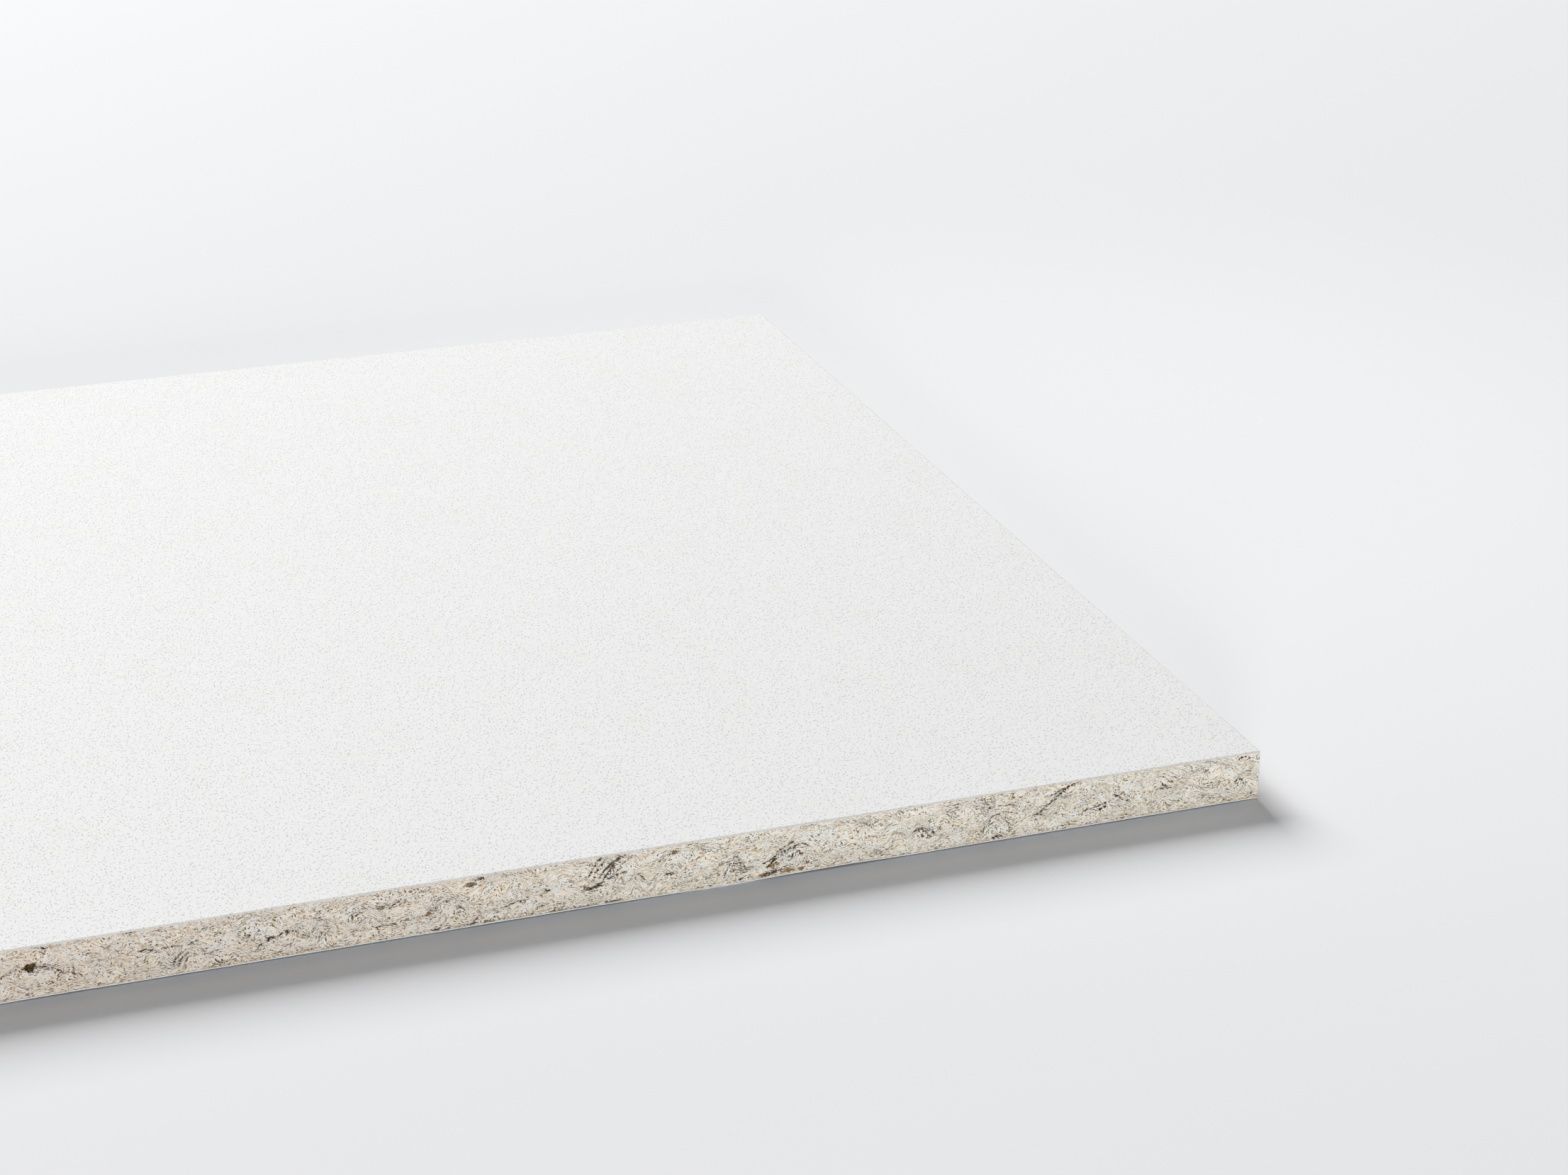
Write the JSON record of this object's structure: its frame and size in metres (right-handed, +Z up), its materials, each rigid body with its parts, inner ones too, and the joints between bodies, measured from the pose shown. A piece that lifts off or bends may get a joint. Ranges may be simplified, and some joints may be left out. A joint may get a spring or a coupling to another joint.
{
  "type": "ceiling tile",
  "caption": "Square lay-in suspended ceiling tile: a stone wool board with a square-cut edge, a white painted fleece on its face and a thin fleece on its back, lying face up",
  "frame": {"origin": "centre of the underside, on the surface that the tile lies on", "axes": "+Z up, square to the board and out of the painted face; +X along the front edge to the right; +Y from the front edge to the back"},
  "size_m": [0.595, 0.595, 0.0206],
  "materials": {
    "stone_wool": "matt, sawn stone wool, cream and beige fibre layers with dark brown specks and gaps",
    "face_paint": "matt white paint on glass fleece, with a fine pitted grain",
    "back_fleece": "matt pale non-woven glass fleece"
  },
  "bodies": {
    "root": {"stone_wool_core": "stone_wool", "painted_face_fleece": "face_paint", "back_fleece": "back_fleece"}
  },
  "joints": []
}
